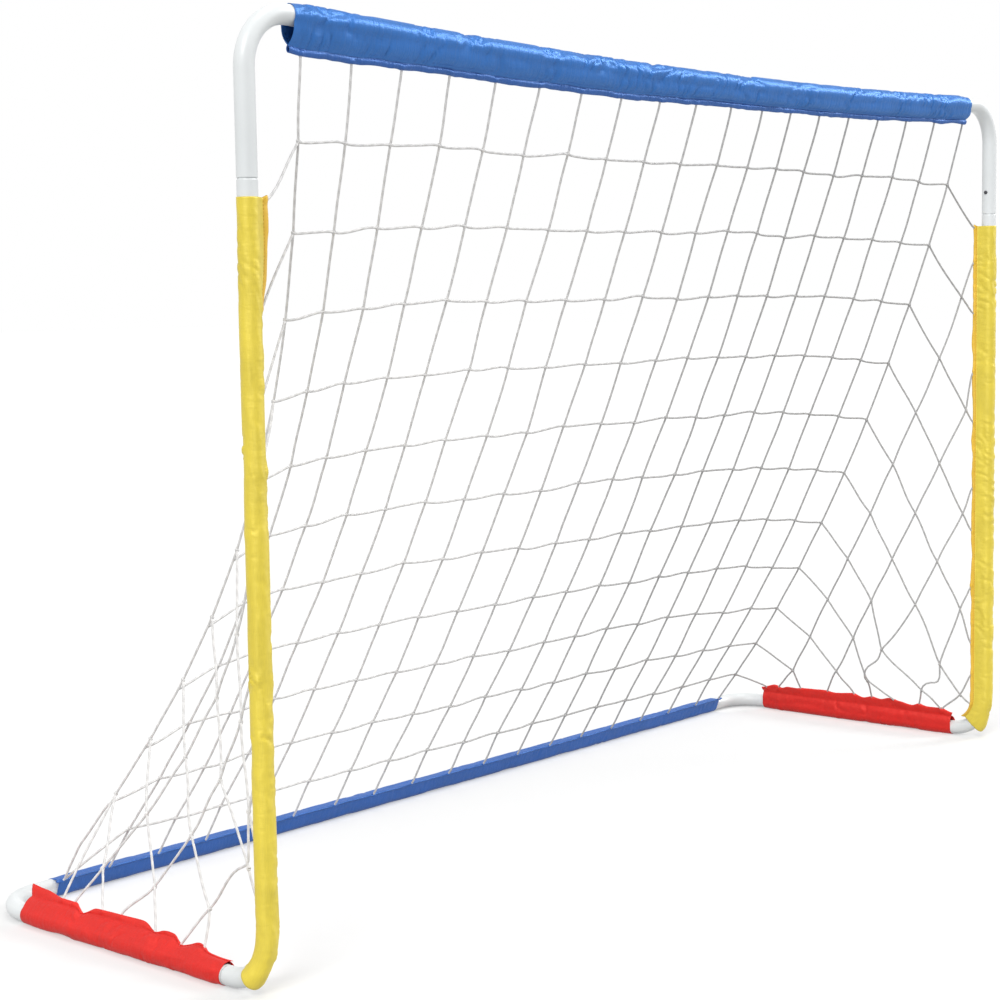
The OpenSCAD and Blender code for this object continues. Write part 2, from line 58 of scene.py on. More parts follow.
# Ends and reaches of the sleeves
CROSSBAR_LEFT, CROSSBAR_RIGHT = -830.0, 808.0
POST_TOP = 946.6
FOOT_BEND_Z = BASE_Z + BEND_R
POST_WRAP = 62.0
SIDE_FRONT, SIDE_REAR = -196.0, 208.0
REAR_X = 815.0
CROSSBAR_HEM, POST_HEM, SIDE_HEM, REAR_HEM = 33.0, 28.0, 37.0, 24.0
POST_LEAN, SIDE_LEAN, REAR_RISE = 45.0, 20.0, 35.0  # in degrees


def unit(v):
    """v, or each row of v, at length 1."""
    v = np.asarray(v, float)
    return v / np.linalg.norm(v, axis=-1, keepdims=True)


def smooth(t):
    """Eases t from 0 to 1, and holds it there outside that range."""
    t = np.clip(t, 0, 1)
    return t * t * (3 - 2 * t)


def noise(x, y, seed):
    """Smooth noise from -1 to 1 over x and y, the same on each run."""
    table = np.random.default_rng(seed).uniform(-1, 1, (256, 256))
    x, y = np.broadcast_arrays(np.asarray(x, float), np.asarray(y, float))
    i, j = np.floor(x).astype(int), np.floor(y).astype(int)
    u, v = smooth(x - i), smooth(y - j)
    i, j, k, m = i % 256, j % 256, (i + 1) % 256, (j + 1) % 256
    near = table[i, j] * (1 - u) + table[k, j] * u
    far = table[i, m] * (1 - u) + table[k, m] * u
    return near * (1 - v) + far * v


def grooves(x, y, seed):
    """Narrow grooves between broad smooth crests, from 0 on a crest to 1 in a groove."""
    return (1 - np.abs(noise(x, y, seed))) ** 3.5


def curve_through(stops):
    """A smooth function through the (place, value) stops."""
    places, values = (np.array(a, float) for a in zip(*stops))

    def at(s):
        k = np.clip(np.searchsorted(places, s) - 1, 0, len(places) - 2)
        t = smooth((s - places[k]) / (places[k + 1] - places[k]))
        return values[k] * (1 - t) + values[k + 1] * t

    def rounded(s):
        return sum(at(np.asarray(s) + d) for d in (-6, -3, 0, 3, 6)) / 5

    return rounded


# ------------------------------------------------------------------ camera
LENS_PX, IMAGE_PX, SENSOR_MM = 2016.12, 1000, 36
PITCH, YAW, ROLL = -0.0974, 0.8559, -0.0156
EYE = (-2.477, -2.020, 0.8212)


def make_camera():
    """The camera at the photograph's viewing angle, in radians and metres."""
    data = bpy.data.cameras.new("camera")
    data.sensor_width = SENSOR_MM
    data.lens = SENSOR_MM * LENS_PX / IMAGE_PX
    data.clip_start, data.clip_end = 0.05, 100
    camera = bpy.data.objects.new("camera", data)
    bpy.context.collection.objects.link(camera)
    level_share = math.cos(PITCH)
    ahead = Vector((math.sin(YAW) * level_share, math.cos(YAW) * level_share, math.sin(PITCH)))
    level = Vector((math.cos(YAW), -math.sin(YAW), 0))
    up = level.cross(ahead)
    right = math.cos(ROLL) * level + math.sin(ROLL) * up
    above = -math.sin(ROLL) * level + math.cos(ROLL) * up
    turn = Matrix((right, above, -ahead)).transposed().to_4x4()
    camera.matrix_world = Matrix.Translation(EYE) @ turn
    bpy.context.scene.camera = camera


# ------------------------------------------------------------------ materials
class Shader:
    """A material's node tree, with the few nodes that this scene uses."""

    def __init__(self, name):
        self.material = bpy.data.materials.new(name)
        self.material.use_nodes = True
        self.tree = self.material.node_tree
        self.surface = self.tree.nodes["Principled BSDF"]

    def node(self, kind, inputs=None, **settings):
        made = self.tree.nodes.new(kind)
        for key, value in settings.items():
            setattr(made, key, value)
        for key, value in (inputs or {}).items():
            self.put(made.inputs[key], value)
        return made

    def put(self, socket, value):
        if isinstance(value, bpy.types.NodeSocket):
            self.tree.links.new(value, socket)
        else:
            socket.default_value = value

    def set(self, **values):
        for key, value in values.items():
            self.put(self.surface.inputs[key.replace("_", " ")], value)

    def fixed(self, **values):
        for key, value in values.items():
            self.surface.inputs[key.replace("_", " ")].default_value = value

    def place(self):
        return self.node("ShaderNodeTexCoord").outputs["Object"]

    def cloth_uv(self):
        return self.node("ShaderNodeUVMap", uv_map="cloth").outputs[0]

    def stretched(self, vector, scale):
        return self.node("ShaderNodeMapping", {"Vector": vector, "Scale": scale}).outputs[0]

    def noise(self, vector, scale, detail=2.0, rough=0.5):
        inputs = {"Vector": vector, "Scale": scale, "Detail": detail, "Roughness": rough}
        return self.node("ShaderNodeTexNoise", inputs).outputs["Fac"]

    def wave(self, vector, scale, axis, distortion=0.0):
        inputs = {"Vector": vector, "Scale": scale, "Distortion": distortion}
        return self.node("ShaderNodeTexWave", inputs, bands_direction=axis).outputs["Fac"]

    def math(self, operation, a, b=0.5):
        made = self.node("ShaderNodeMath", operation=operation)
        self.put(made.inputs[0], a)
        self.put(made.inputs[1], b)
        return made.outputs[0]

    def spread(self, value, low, high, start=0.0, end=1.0):
        """value, which runs from start to end, made to run from low to high."""
        inputs = {"Value": value, "From Min": start, "From Max": end, "To Min": low, "To Max": high}
        return self.node("ShaderNodeMapRange", inputs).outputs[0]

    def part(self, vector, axis):
        """A vector's X, Y or Z."""
        return self.node("ShaderNodeSeparateXYZ", {"Vector": vector}).outputs[axis]

    def ramp(self, fac, low, high, start=0.3, end=0.7):
        made = self.node("ShaderNodeValToRGB", {"Fac": fac})
        first, last = made.color_ramp.elements
        first.position, last.position = start, end
        first.color, last.color = (*low, 1), (*high, 1)
        return made.outputs["Color"]

    def mixed(self, factor, a, b, blend="MIX"):
        made = self.node("ShaderNodeMix", {"Factor": factor}, data_type="RGBA", blend_type=blend)
        for socket, value in ((made.inputs[6], a), (made.inputs[7], b)):
            self.put(socket, (*value, 1) if isinstance(value, tuple) else value)
        return made.outputs[2]

    def bump(self, height, strength, distance, normal=None):
        inputs = {"Height": height, "Strength": strength, "Distance": distance}
        made = self.node("ShaderNodeBump", inputs)
        if normal is not None:
            self.put(made.inputs["Normal"], normal)
        return made.outputs[0]


def powder_coat():
    """White powder coat, with a faint orange peel and soft clouds and marks."""
    s = Shader("powder_coat")
    place = s.place()
    clouds = s.noise(place, 7, 4)
    s.set(Base_Color=s.ramp(clouds, (0.70, 0.73, 0.735), (0.80, 0.825, 0.83)))
    marks = s.noise(place, 60, 5, 0.6)
    s.set(Roughness=s.spread(marks, 0.30, 0.46))
    s.set(Normal=s.bump(s.noise(place, 420, 2), 0.12, 0.0006))
    s.fixed(Specular_IOR_Level=0.5, Coat_Weight=0.15, Coat_Roughness=0.25)
    return s.material


def satin(name, body, hem, shine, shining, rough, crumpled, crumples=(120, 45)):
    """Woven polyester satin with long floats along the sleeve; v is below zero on the hem.
    crumples is how finely it is crumpled along the sleeve and round it."""
    s = Shader(name)
    cloth = s.cloth_uv()
    slubs = s.noise(s.stretched(cloth, (90, 900, 1)), 1, 3)
    patches = s.noise(s.stretched(cloth, (14, 30, 1)), 1, 3)
    both = s.math("ADD", s.math("MULTIPLY", slubs, 0.35), s.math("MULTIPLY", patches, 0.65))
    # The hem takes its own colour. For the blue and yellow cloths it is darker than the body, which is
    # painted shade.
    tone = s.mixed(s.math("LESS_THAN", s.part(cloth, "Y"), 0.0), body, hem)
    shade = s.ramp(both, (0.80, 0.80, 0.80), (1, 1, 1), 0.32, 0.68)
    s.set(Base_Color=s.mixed(1.0, tone, shade, "MULTIPLY"))
    threads = s.math("ADD", s.wave(cloth, 520, "X"), s.wave(cloth, 700, "Y"))
    crumple = s.noise(s.stretched(cloth, (*crumples, 1)), 1, 4, 0.55)
    s.set(Normal=s.bump(crumple, crumpled, 0.0024, s.bump(threads, 0.12, 0.0002)))
    s.set(Tangent=s.node("ShaderNodeTangent", direction_type="UV_MAP", uv_map="cloth").outputs[0])
    s.fixed(Roughness=rough, Anisotropic=0.5, Metallic=shining)
    s.fixed(Specular_IOR_Level=0.9, IOR=1.7, Specular_Tint=(*shine, 1))
    return s.material


def thread(name, colour):
    """Sewing thread, twisted, a shade from the cloth that it sews."""
    s = Shader(name)
    dark = tuple(c * 0.8 for c in colour)
    s.set(Base_Color=s.ramp(s.noise(s.place(), 300, 2), dark, colour))
    s.set(Normal=s.bump(s.wave(s.place(), 900, "DIAGONAL"), 0.3, 0.0002))
    s.fixed(Roughness=0.7)
    return s.material


def twine():
    """Three-ply twine; the ply winds round the strand, and it is greyer towards the right, which is painted
    shade.
    """
    s = Shader("twine")
    cloth = s.cloth_uv()
    ply = s.wave(s.stretched(cloth, (1.0, 1.0, 1)), 38, "DIAGONAL", 0.4)
    fuzz = s.noise(s.stretched(cloth, (900, 40, 1)), 1, 3, 0.6)
    # Painted shade: the twine's colour darkens from the goal's left side to its right.
    right_shade = s.spread(s.part(s.place(), "X"), 0.0, 1.0, -0.35, 0.35)
    base = s.mixed(right_shade, (0.78, 0.77, 0.76), (0.50, 0.495, 0.49))
    plies = s.ramp(s.math("MULTIPLY", ply, fuzz), (0.55, 0.55, 0.55), (1, 1, 1), 0.0, 0.5)
    s.set(Base_Color=s.mixed(0.35, base, plies, "MULTIPLY"))
    s.set(Normal=s.bump(s.math("ADD", ply, fuzz), 0.6, 0.0006))
    s.fixed(Roughness=0.8, Sheen_Weight=0.2)
    return s.material


def metal(name, colour, roughness):
    """Brushed steel."""
    s = Shader(name)
    streaks = s.noise(s.stretched(s.place(), (900, 900, 60)), 1, 3)
    dark = tuple(c * 0.7 for c in colour)
    s.set(Base_Color=s.ramp(streaks, dark, colour))
    s.set(Normal=s.bump(streaks, 0.15, 0.0003))
    s.fixed(Metallic=1.0, Roughness=roughness)
    return s.material


# ------------------------------------------------------------------ meshes
def make_piece(name, points, faces, uvs, material, replaces, thick=0.0):
    """A smooth piece on the goal's body; points and uvs, one per face corner, are in mm."""
    mesh = bpy.data.meshes.new(name)
    mesh.from_pydata((np.asarray(points) * MM).tolist(), [], faces)
    layer = mesh.uv_layers.new(name="cloth")
    layer.data.foreach_set("uv", (np.asarray(uvs, np.float32) * MM).ravel())
    mesh.shade_smooth()
    mesh.materials.append(material)
    piece = bpy.data.objects.new(name, mesh)
    bpy.context.collection.objects.link(piece)
    if thick:
        solid = piece.modifiers.new("thickness", "SOLIDIFY")
        solid.thickness = thick * MM
        solid.offset = -1
    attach(piece, BODY)
    if replaces:
        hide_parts(replaces)
    return piece


def ring_faces(rings, sides, start=0):
    """Quads between closed rings of points."""
    i, j = np.meshgrid(np.arange(rings - 1), np.arange(sides), indexing="ij")
    k = (j + 1) % sides
    quads = np.stack([i * sides + j, i * sides + k, (i + 1) * sides + k, (i + 1) * sides + j], -1)
    return (quads.reshape(-1, 4) + start).tolist()


class Strands:
    """Many round strands in one mesh, with u along and v round each."""

    def __init__(self, sides):
        self.sides = sides
        self.points, self.faces, self.uvs, self.count = [], [], [], 0

    def add(self, line, radius, closed=False, taper=False):
        line = np.asarray(line, float)
        n, sides = len(line), self.sides
        if closed:
            ahead = unit(np.roll(line, -1, 0) - np.roll(line, 1, 0))
        else:
            ahead = unit(np.gradient(line, axis=0))
        across = np.zeros((n, 3))
        seed = np.eye(3)[np.argmin(np.abs(ahead[0]))]
        for i in range(n):  # carries the first ring's direction along the line
            seed = unit(seed - seed.dot(ahead[i]) * ahead[i])
            across[i] = seed
        other = np.cross(ahead, across)
        r = np.full(n, float(radius))
        if taper:
            r[0] = r[-1] = radius * 0.35
        turn = np.arange(sides) * 2 * math.pi / sides
        c, s = np.cos(turn)[None, :, None], np.sin(turn)[None, :, None]
        ring = across[:, None] * c + other[:, None] * s
        self.points.append((line[:, None] + r[:, None, None] * ring).reshape(-1, 3))
        first, last = self.count, self.count + (n - 1) * sides
        faces = ring_faces(n, sides, first)
        along = np.concatenate([[0], np.cumsum(np.linalg.norm(np.diff(line, axis=0), axis=1))])
        step = 2 * math.pi * radius / sides
        for i in range(n - 1):
            a, b = along[i], along[i + 1]
            for k in range(sides):
                self.uvs += [(a, k * step), (a, (k + 1) * step), (b, (k + 1) * step), (b, k * step)]
        if closed:
            faces += [[last + k, last + (k + 1) % sides, first + (k + 1) % sides, first + k]
                      for k in range(sides)]
            self.uvs += [(0.0, 0.0)] * (4 * sides)
        else:
            faces += [[first + k for k in reversed(range(sides))], [last + k for k in range(sides)]]
            self.uvs += [(0.0, 0.0)] * (2 * sides)
        self.faces += faces
        self.count += n * sides

    def piece(self, name, material, slot, replaces=None):
        points = np.concatenate(self.points)
        return make_piece(name, points, self.faces, self.uvs, material, replaces)


# ------------------------------------------------------------------ the sleeves' lines
def crossbar_line(s):
    """The point, direction and hem direction of the crossbar's axis, s from its middle."""
    a = s / BOW_R
    zero = np.zeros_like(a)
    point = np.stack([BOW_R * np.sin(a), zero + FRONT_Y, BOW_Z - BOW_R * np.cos(a)], -1)
    ahead = np.stack([np.cos(a), zero, np.sin(a)], -1)
    return point, ahead, np.stack([np.sin(a), zero, -np.cos(a)], -1)


def post_line(side, lean):
    """The same for a post, s down from the sleeve's top and round the foot's bend."""
    straight = POST_TOP - FOOT_BEND_Z

    def at(s):
        a = np.clip((s - straight) / BEND_R, 0, None)
        down = np.minimum(s, straight)
        zero = np.zeros_like(a)
        out = np.stack([zero, -np.cos(a), -np.sin(a)], -1)
        centre = np.stack([zero + side * POST_X, zero + FRONT_Y + BEND_R, POST_TOP - down], -1)
        point = centre + BEND_R * out
        ahead = np.stack([zero, np.sin(a), -np.cos(a)], -1)
        angle = np.radians(lean(s))[..., None]
        inward = np.array([-side, 0.0, 0.0])
        return point, ahead, np.cos(angle) * inward - np.sin(angle) * out

    return at


def side_line(side):
    """The same for a side tube, s from its front end towards the rear."""
    lean = math.radians(SIDE_LEAN)
    hem = np.array([-side * math.sin(lean), 0, math.cos(lean)])

    def at(s):
        zero = np.zeros_like(s)
        point = np.stack([zero + side * POST_X, s, zero + BASE_Z], -1)
        return point, np.stack([zero, zero + 1, zero], -1), np.broadcast_to(hem, point.shape)

    return at


def rear_line(s):
    """The same for the rear bar, s from its middle."""
    rise = math.radians(REAR_RISE)
    zero = np.zeros_like(s)
    point = np.stack([s, zero + REAR_Y, zero + BASE_Z], -1)
    hem = np.array([0, -math.cos(rise), math.sin(rise)])
    return point, np.stack([zero + 1, zero, zero], -1), np.broadcast_to(hem, point.shape)


# ------------------------------------------------------------------ sleeves
# How many points the outline has along the flap, from there to the tube, and round the tube
FLAP_N, STRAIGHT_N, ROUND_N = 6, 6, 28
STEP = 2.0  # along a sleeve, from row to row of its grid
STITCH_R, STITCH_PITCH, STITCH_LONG = 0.33, 4.2, 3.0
STITCH_LIFT, STITCH_IN = 0.12, 0.8  # off the hem's face, and out from where its layers meet


class Sleeve:
    """A strip of cloth round a tube, its two long edges sewn together into a hem. span is its
    two ends along the line; seam is where the edges meet, from the tube's axis."""

    def __init__(self, name, node, line, span, reach, wave, creases, seam=21.3, puff=0.8, belly=0.0,
                 over=7.0, widest=40.0, flare=(0.0, 40.0)):
        self.name, self.node, self.line = name, node, line
        self.start, self.end = span
        self.reach, self.wave, self.creases = reach, wave, creases
        self.seam, self.puff, self.belly, self.over = seam, puff, belly, over
        self.widest, self.flare = widest, flare
        self.touch = CLOTH_R * CLOTH_R / seam  # where the cloth leaves the tube's round
        self.bulges = []  # where the net's strands are sewn into the hem

    def section(self):
        """The cloth's outline round the tube as (along the hem, across it), each point's share
        of the flap from the seam to the edge, its side, its normal and its share of the belly."""
        angle = math.acos(CLOTH_R / self.seam)
        f = np.linspace(1, 0, FLAP_N)
        flap = np.stack([self.seam + 0 * f, HEM_HALF + 0 * f], -1)
        touch = CLOTH_R * np.array([math.cos(angle), math.sin(angle)])
        t = np.linspace(0, 1, STRAIGHT_N + 1)[1:, None]
        straight = flap[-1] * (1 - t) + touch * t
        turn = np.linspace(angle, 2 * math.pi - angle, ROUND_N)[1:-1]
        bend = CLOTH_R * np.stack([np.cos(turn), np.sin(turn)], -1)
        half = np.concatenate([flap, straight])
        points = np.concatenate([half, bend, (half * [1, -1])[::-1]])
        body = np.zeros(len(points) - 2 * FLAP_N)
        share = np.concatenate([f, body, f[::-1]])
        side = np.concatenate([np.ones(FLAP_N), body, -np.ones(FLAP_N)])
        swell = np.sin(math.pi * t[:, 0])
        belly = np.concatenate([0 * f, swell, 0 * turn, swell[::-1], 0 * f])
        ahead = np.gradient(points, axis=0)
        normal = unit(np.stack([ahead[:, 1], -ahead[:, 0]], -1))
        normal[:FLAP_N] = [0, 1]
        normal[-FLAP_N:] = [0, -1]
        return points, share, side, normal, belly

    def surface(self):
        """The grid of points, rows along the tube and columns round it."""
        s = np.linspace(self.start, self.end, int((self.end - self.start) / STEP))
        section, share, side, normal, belly = self.section()
        flap = (side != 0)[None]
        reach = self.reach(s)[:, None]
        seam = self.seam_under(reach)
        wave = self.wave(s)[:, None] * (share**1.3)[None]
        lift = self.creases(s[:, None], section) * (0.2 + 0.8 * self.inside(s, 30.0))[:, None]
        lift = np.where(flap, lift * 0.3, np.maximum(lift + self.belly * belly[None], -0.1))
        open_end, length = self.flare
        back = np.maximum(-section[None, :, 0] / CLOTH_R, 0)
        lift = lift + open_end * smooth(1 - (self.end - s) / length)[:, None] ** 2 * back
        uneven = (0.6 + 0.4 * noise(s / 19, 1.5, 90))[:, None]
        puff = self.puff * uneven * np.sin(math.pi * share)[None] ** 0.7
        for place in self.bulges:
            near = np.exp(-(((s[:, None] - place) / 4.0) ** 2)) * smooth((share - 0.25) / 0.4)[None]
            puff = puff + 1.4 * near
        lift = lift + puff * flap
        short = (seam - self.touch) / (self.seam - self.touch)
        beyond = np.maximum(section[None, :, 0] - self.touch, 0)
        along = section[None, :, 0] - beyond * (1 - short) + share[None] * (reach - seam)
        along = along + lift * normal[None, :, 0]
        across = section[None, :, 1] + wave + lift * normal[None, :, 1]
        ends = self.end_shift(s)[:, None] * share[None]
        point, ahead, hem = self.line(s)
        other = np.cross(ahead, hem)
        grid = (point[:, None] + along[..., None] * hem[:, None] + across[..., None] * other[:, None]
                + ends[..., None] * ahead[:, None])
        grid[..., 2] = np.maximum(grid[..., 2], LOWEST)
        self.s, self.grid = s, grid
        return grid

    def seam_under(self, reach):
        """Where the edges meet: nearer to the tube at a notch, further off where it hangs low."""
        nearest = np.maximum(reach - self.widest, self.touch + 1.5)
        return np.clip(np.minimum(self.seam, reach - 1.5), nearest, None)

    def inside(self, s, length):
        """0 at the sleeve's ends, rising to 1 within a length of them."""
        return smooth(np.minimum(s - self.start, self.end - s) / length)

    def end_shift(self, s):
        """How far the hem runs past the sleeve, at each end."""
        return self.over * (np.exp(-(self.end - s) / 10.0) - np.exp(-(s - self.start) / 10.0))

    def hem_point(self, s, inside):
        """A point at s, so far inside the hem's edge."""
        s = np.asarray(float(s))
        point, ahead, hem = self.line(s)
        edge = self.reach(s)
        seam = self.seam_under(edge)
        share = max((edge - inside - seam) / (edge - seam), 0.0)
        return point + (edge - inside) * hem + self.wave(s) * share**1.3 * np.cross(ahead, hem)

    def cloth_places(self):
        """Where each face's two edges lie round the sleeve: below zero on the hem's faces."""
        points, share = self.section()[:2]
        flap = (self.reach(self.s).mean() - self.seam) * share
        round_it = np.cumsum(np.linalg.norm(np.diff(points, axis=0), axis=1))
        start = np.concatenate([-flap[:FLAP_N], round_it[FLAP_N - 1:-FLAP_N + 1], -flap[-FLAP_N:][1:]])
        end = np.roll(start, -1)
        start[len(points) - FLAP_N] = -0.01
        return start, end

    def build(self, cloth, sewing, slot, rests_on):
        grid = self.surface()
        rows, cols = grid.shape[:2]
        v0, v1 = self.cloth_places()
        i, j = np.meshgrid(np.arange(rows - 1), np.arange(cols), indexing="ij")
        corners = [(self.s[i], v0[j]), (self.s[i], v1[j]), (self.s[i + 1], v1[j]), (self.s[i + 1], v0[j])]
        uvs = np.stack([np.stack(corner, -1) for corner in corners], 2).reshape(-1, 2)
        faces = ring_faces(rows, cols)
        piece = make_piece(self.name, grid.reshape(-1, 3), faces, uvs, cloth, self.node, CLOTH_T)
        stitches = self.stitches(sewing, slot)
        return piece

    def stitches(self, sewing, slot):
        """A row of stitches on each side of the hem, where the two layers are sewn."""
        made = Strands(5)
        length = self.end - self.start
        for column, side in zip((FLAP_N - 1, self.grid.shape[1] - FLAP_N), (1, -1)):
            _, ahead, hem = self.line(self.s)
            line = self.grid[:, column] + side * STITCH_LIFT * np.cross(ahead, hem) + STITCH_IN * hem
            run = np.linspace(0, length, len(line))
            for place in np.arange(3.0, length - 5.0, STITCH_PITCH):
                at = np.array([place, place + STITCH_LONG / 2, place + STITCH_LONG])
                stitch = np.stack([np.interp(at, run, line[:, k]) for k in range(3)], -1)
                made.add(stitch, STITCH_R, taper=True)
        return made.piece(self.name + "_stitches", sewing, slot)


def gather(seed, spacing, depth, slant=0.0, bunches=(), full=0.55, clusters=40.0):
    """Creases across the cloth, in clusters: spacing along the tube, depth in mm, slant round
    it, bunches as (place, width, more) where the cloth is pushed together, and how full it is."""

    def at(s, section):
        turn = np.arctan2(section[:, 1], section[:, 0])[None]
        x = s / spacing + slant * turn + 1.2 * noise(s / 45, turn * 0.8, seed + 1)
        folds = grooves(x, turn * 0.7 + 7, seed)
        small = grooves(2.3 * x + 9, turn * 1.4 + 3, seed + 2)
        strength = smooth(0.6 + 0.8 * noise(s / clusters, turn * 0.5, seed + 3))
        bunch = 0.0
        for place, width, more in bunches:
            bunch = bunch + more * np.exp(-(((s - place) / width) ** 2))
        away = smooth((2.1 - section[:, 0] / CLOTH_R) / 0.9)[None]
        raised = full + 0.4 * bunch - (strength + bunch) * (folds + 0.25 * small)
        return depth * raised * (0.3 + 0.7 * away)

    return at


def wavy(seed, size, spacing):
    """A sleeve edge's sway to one side and the other."""

    def at(s):
        return size * (noise(s / spacing, 0.5, seed) + 0.4 * noise(s / (spacing * 0.4), 2.5, seed))

    return at


def scallops(seed, reach, size, spacing, low=None):
    """A hem's reach, with soft lobes along its edge; low adds to it along the sleeve."""

    def at(s):
        lobes = noise(s / spacing, 0.5, seed) + 0.3 * noise(s / (spacing * 0.3), 4.5, seed)
        return reach + size * lobes + (low(s) if low else 0)

    return at


def lean_left(s):
    """The hem turns forward near the top of the left post, and lies behind it lower down."""
    return POST_LEAN - 48 * (1 - smooth((s - 40) / 190))


def lean_right(s):
    """The right post's hem keeps one direction all the way down."""
    return POST_LEAN + 0 * s


POST_LENGTH = POST_TOP - FOOT_BEND_Z + math.radians(POST_WRAP) * BEND_R
# How much further the crossbar's hem hangs, as (place, more)
CROSSBAR_LOW = [(-835, 12), (-590, 7.5), (-200, 5), (100, 1.5), (400, 0), (820, 0)]
# Where cloth is pushed together, as (place, width, more)
LEFT_BUNCHES = [(281, 9, 1.5), (299, 8, 1.2), (315, 8, 1.6), (388, 7, 0.8), (563, 9, 1.4), (631, 9, 1.3),
                (880, 40, 0.5)]
RIGHT_BUNCHES = [(110, 40, 0.5), (420, 60, 0.4), (700, 50, 0.6)]
LEFT_NOTCHES = [(-183, 7, 1.5), (-106, 7, 1.8), (-56, 8, 1.2), (95, 8, 1.8)]
RIGHT_NOTCHES = [(-128, 7, 1.5), (-62, 8, 1.5), (-25, 8, 1.2), (35, 7, 1.2), (166, 8, 1.6)]
# The side sleeves' hem edges, as (place, reach from the tube's axis)
LEFT_LOBES = [
    (-200, 17.5), (-183, 17.5), (-160, 19), (-140, 28), (-120, 21), (-106, 17), (-95, 29), (-75, 30),
    (-56, 24), (-30, 34), (20, 33), (66, 32), (84, 23), (95, 19), (103, 32), (140, 32), (175, 37), (215, 41)]
RIGHT_LOBES = [
    (-210, 30), (-190, 38), (-160, 37), (-145, 42), (-128, 35), (-105, 42), (-80, 44), (-62, 39), (-40, 43),
    (-25, 39), (0, 45), (35, 40), (70, 43), (148, 40), (166, 34), (176, 41), (210, 32)]


def make_sleeves():
    """The six sleeves; each has its own seeds, so that no two hang alike."""
    return {
        "crossbar": Sleeve(
            "crossbar_satin", "crossbar_sleeve", crossbar_line, (CROSSBAR_LEFT, CROSSBAR_RIGHT),
            scallops(11, CROSSBAR_HEM, 2.5, 40, curve_through(CROSSBAR_LOW)), wavy(12, 1.2, 30),
            gather(13, 15, 3.6, 0.6, full=0.85), seam=25.5, puff=3.2, belly=3.5, over=0.0, widest=9.0),
        "post_left": Sleeve(
            "post_left_satin", "post_sleeve_left", post_line(-1, lean_left), (0, POST_LENGTH - 8),
            scallops(21, POST_HEM, 2, 30), wavy(22, 1.4, 24),
            gather(23, 19, 2.6, 0.7, LEFT_BUNCHES, 0.4), over=3.0, flare=(9.0, 45.0)),
        "post_right": Sleeve(
            "post_right_satin", "post_sleeve_right", post_line(1, lean_right), (0, POST_LENGTH - 13),
            scallops(31, POST_HEM, 2, 30), wavy(32, 1.4, 24),
            gather(33, 13, 3.0, 0.5, RIGHT_BUNCHES, 0.4), over=3.0, flare=(12.0, 45.0)),
        "side_left": Sleeve(
            "side_left_satin", "side_sleeve_left", side_line(-1), (-199.0, 201.0),
            curve_through(LEFT_LOBES), wavy(42, 2.2, 26),
            gather(43, 24, 2.6, 0.4, LEFT_NOTCHES), seam=24.0, puff=1.8, belly=2.0, over=3.0),
        "side_right": Sleeve(
            "side_right_satin", "side_sleeve_right", side_line(1), (-210.0, SIDE_REAR),
            curve_through(RIGHT_LOBES), wavy(52, 2.2, 26),
            gather(53, 22, 2.4, 0.4, RIGHT_NOTCHES), seam=24.0, puff=1.8, belly=2.0, over=3.0),
        "rear": Sleeve(
            "rear_satin", "rear_sleeve", rear_line, (-806.0, 804.0),
            scallops(61, REAR_HEM, 1.6, 50), wavy(62, 0.9, 40), gather(63, 30, 1.6, 0.2)),
    }


# ------------------------------------------------------------------ net
TWINE_R = 1.65
CELLS_W, ROWS = 18, 11
FIRST_ROW, MESH_H = 90.0, 106.0
NET_HALF_W = REAR_X - 5
NET_SAG, EDGE_IN, EDGE_FORWARD, EDGE_DROP = 32.0, 58.0, 42.0, 28.0
STEPS = 8  # at most, in a side net's row
# How far a knot keeps from the post's hem and the rail's, and a sewn end from a sleeve's ends
POST_MARGIN, RAIL_MARGIN, HEM_MARGIN, REAR_MARGIN = 5, 12, 4, 12
LOWEST_ON_POST = BASE_Z + 45  # no strand is sewn to a post lower than this
SEWN_IN = 3.5  # a strand starts this far inside the hem's edge
NUDGE = 2.0  # how far a knot typically strays from its place
ROW_JOG = 2.0  # a row comes into a knot above its middle and leaves it below
SHORTEST, SPACING = 20, 7  # a stretch shorter than this stays straight, others are cut so finely
KNOT_TURNS = (2.1, 1.3, 0.9), (2.0, 1.25, -0.7)  # each turn's radius, its twine's and its slant

POST_HEM_X = POST_X - POST_HEM * math.cos(math.radians(POST_LEAN))
POST_HEM_Y = FRONT_Y + POST_HEM * math.sin(math.radians(POST_LEAN)) + STRAND_GAP
SIDE_HEM_X = POST_X - SIDE_HEM * math.sin(math.radians(SIDE_LEAN))
SIDE_HEM_Z = BASE_Z + SIDE_HEM * math.cos(math.radians(SIDE_LEAN)) + STRAND_GAP
REAR_HEM_Y = REAR_Y - REAR_HEM * math.cos(math.radians(REAR_RISE))
REAR_HEM_Z = BASE_Z + REAR_HEM * math.sin(math.radians(REAR_RISE))


def bar_z(x):
    return BOW_Z - math.sqrt(BOW_R * BOW_R - x * x)


CHORD = np.array([0, REAR_HEM_Y - FRONT_Y, REAR_HEM_Z - bar_z(0) + CROSSBAR_HEM])
NET_L = np.linalg.norm(CHORD)
DOWN = unit(CHORD)
SAG_WAY = unit([0, CHORD[2], -CHORD[1]])


def mix(a, b, t):
    return a + (b - a) * t


def row_share(r):
    return (FIRST_ROW + (r - 1) * MESH_H) / NET_L


def back_point(s, c):
    """A point on the back panel, s from the crossbar's hem to the rear bar's, column c."""
    u = 2 * c / CELLS_W - 1
    x = u * NET_HALF_W
    hang = max(0, 1 - s / row_share(1))
    top = np.array([x, FRONT_Y, mix(bar_z(0), bar_z(x), hang) - CROSSBAR_HEM - STRAND_GAP])
    end = np.array([x, REAR_HEM_Y, REAR_HEM_Z]) - STRAND_GAP * DOWN
    pull = math.sin(math.pi * s) * abs(u) ** 4
    side = (u > 0) - (u < 0)
    return (mix(top, end, s) + 4 * s * (1 - s) * NET_SAG * SAG_WAY
            - pull * np.array([side * EDGE_IN, EDGE_FORWARD, EDGE_DROP]))


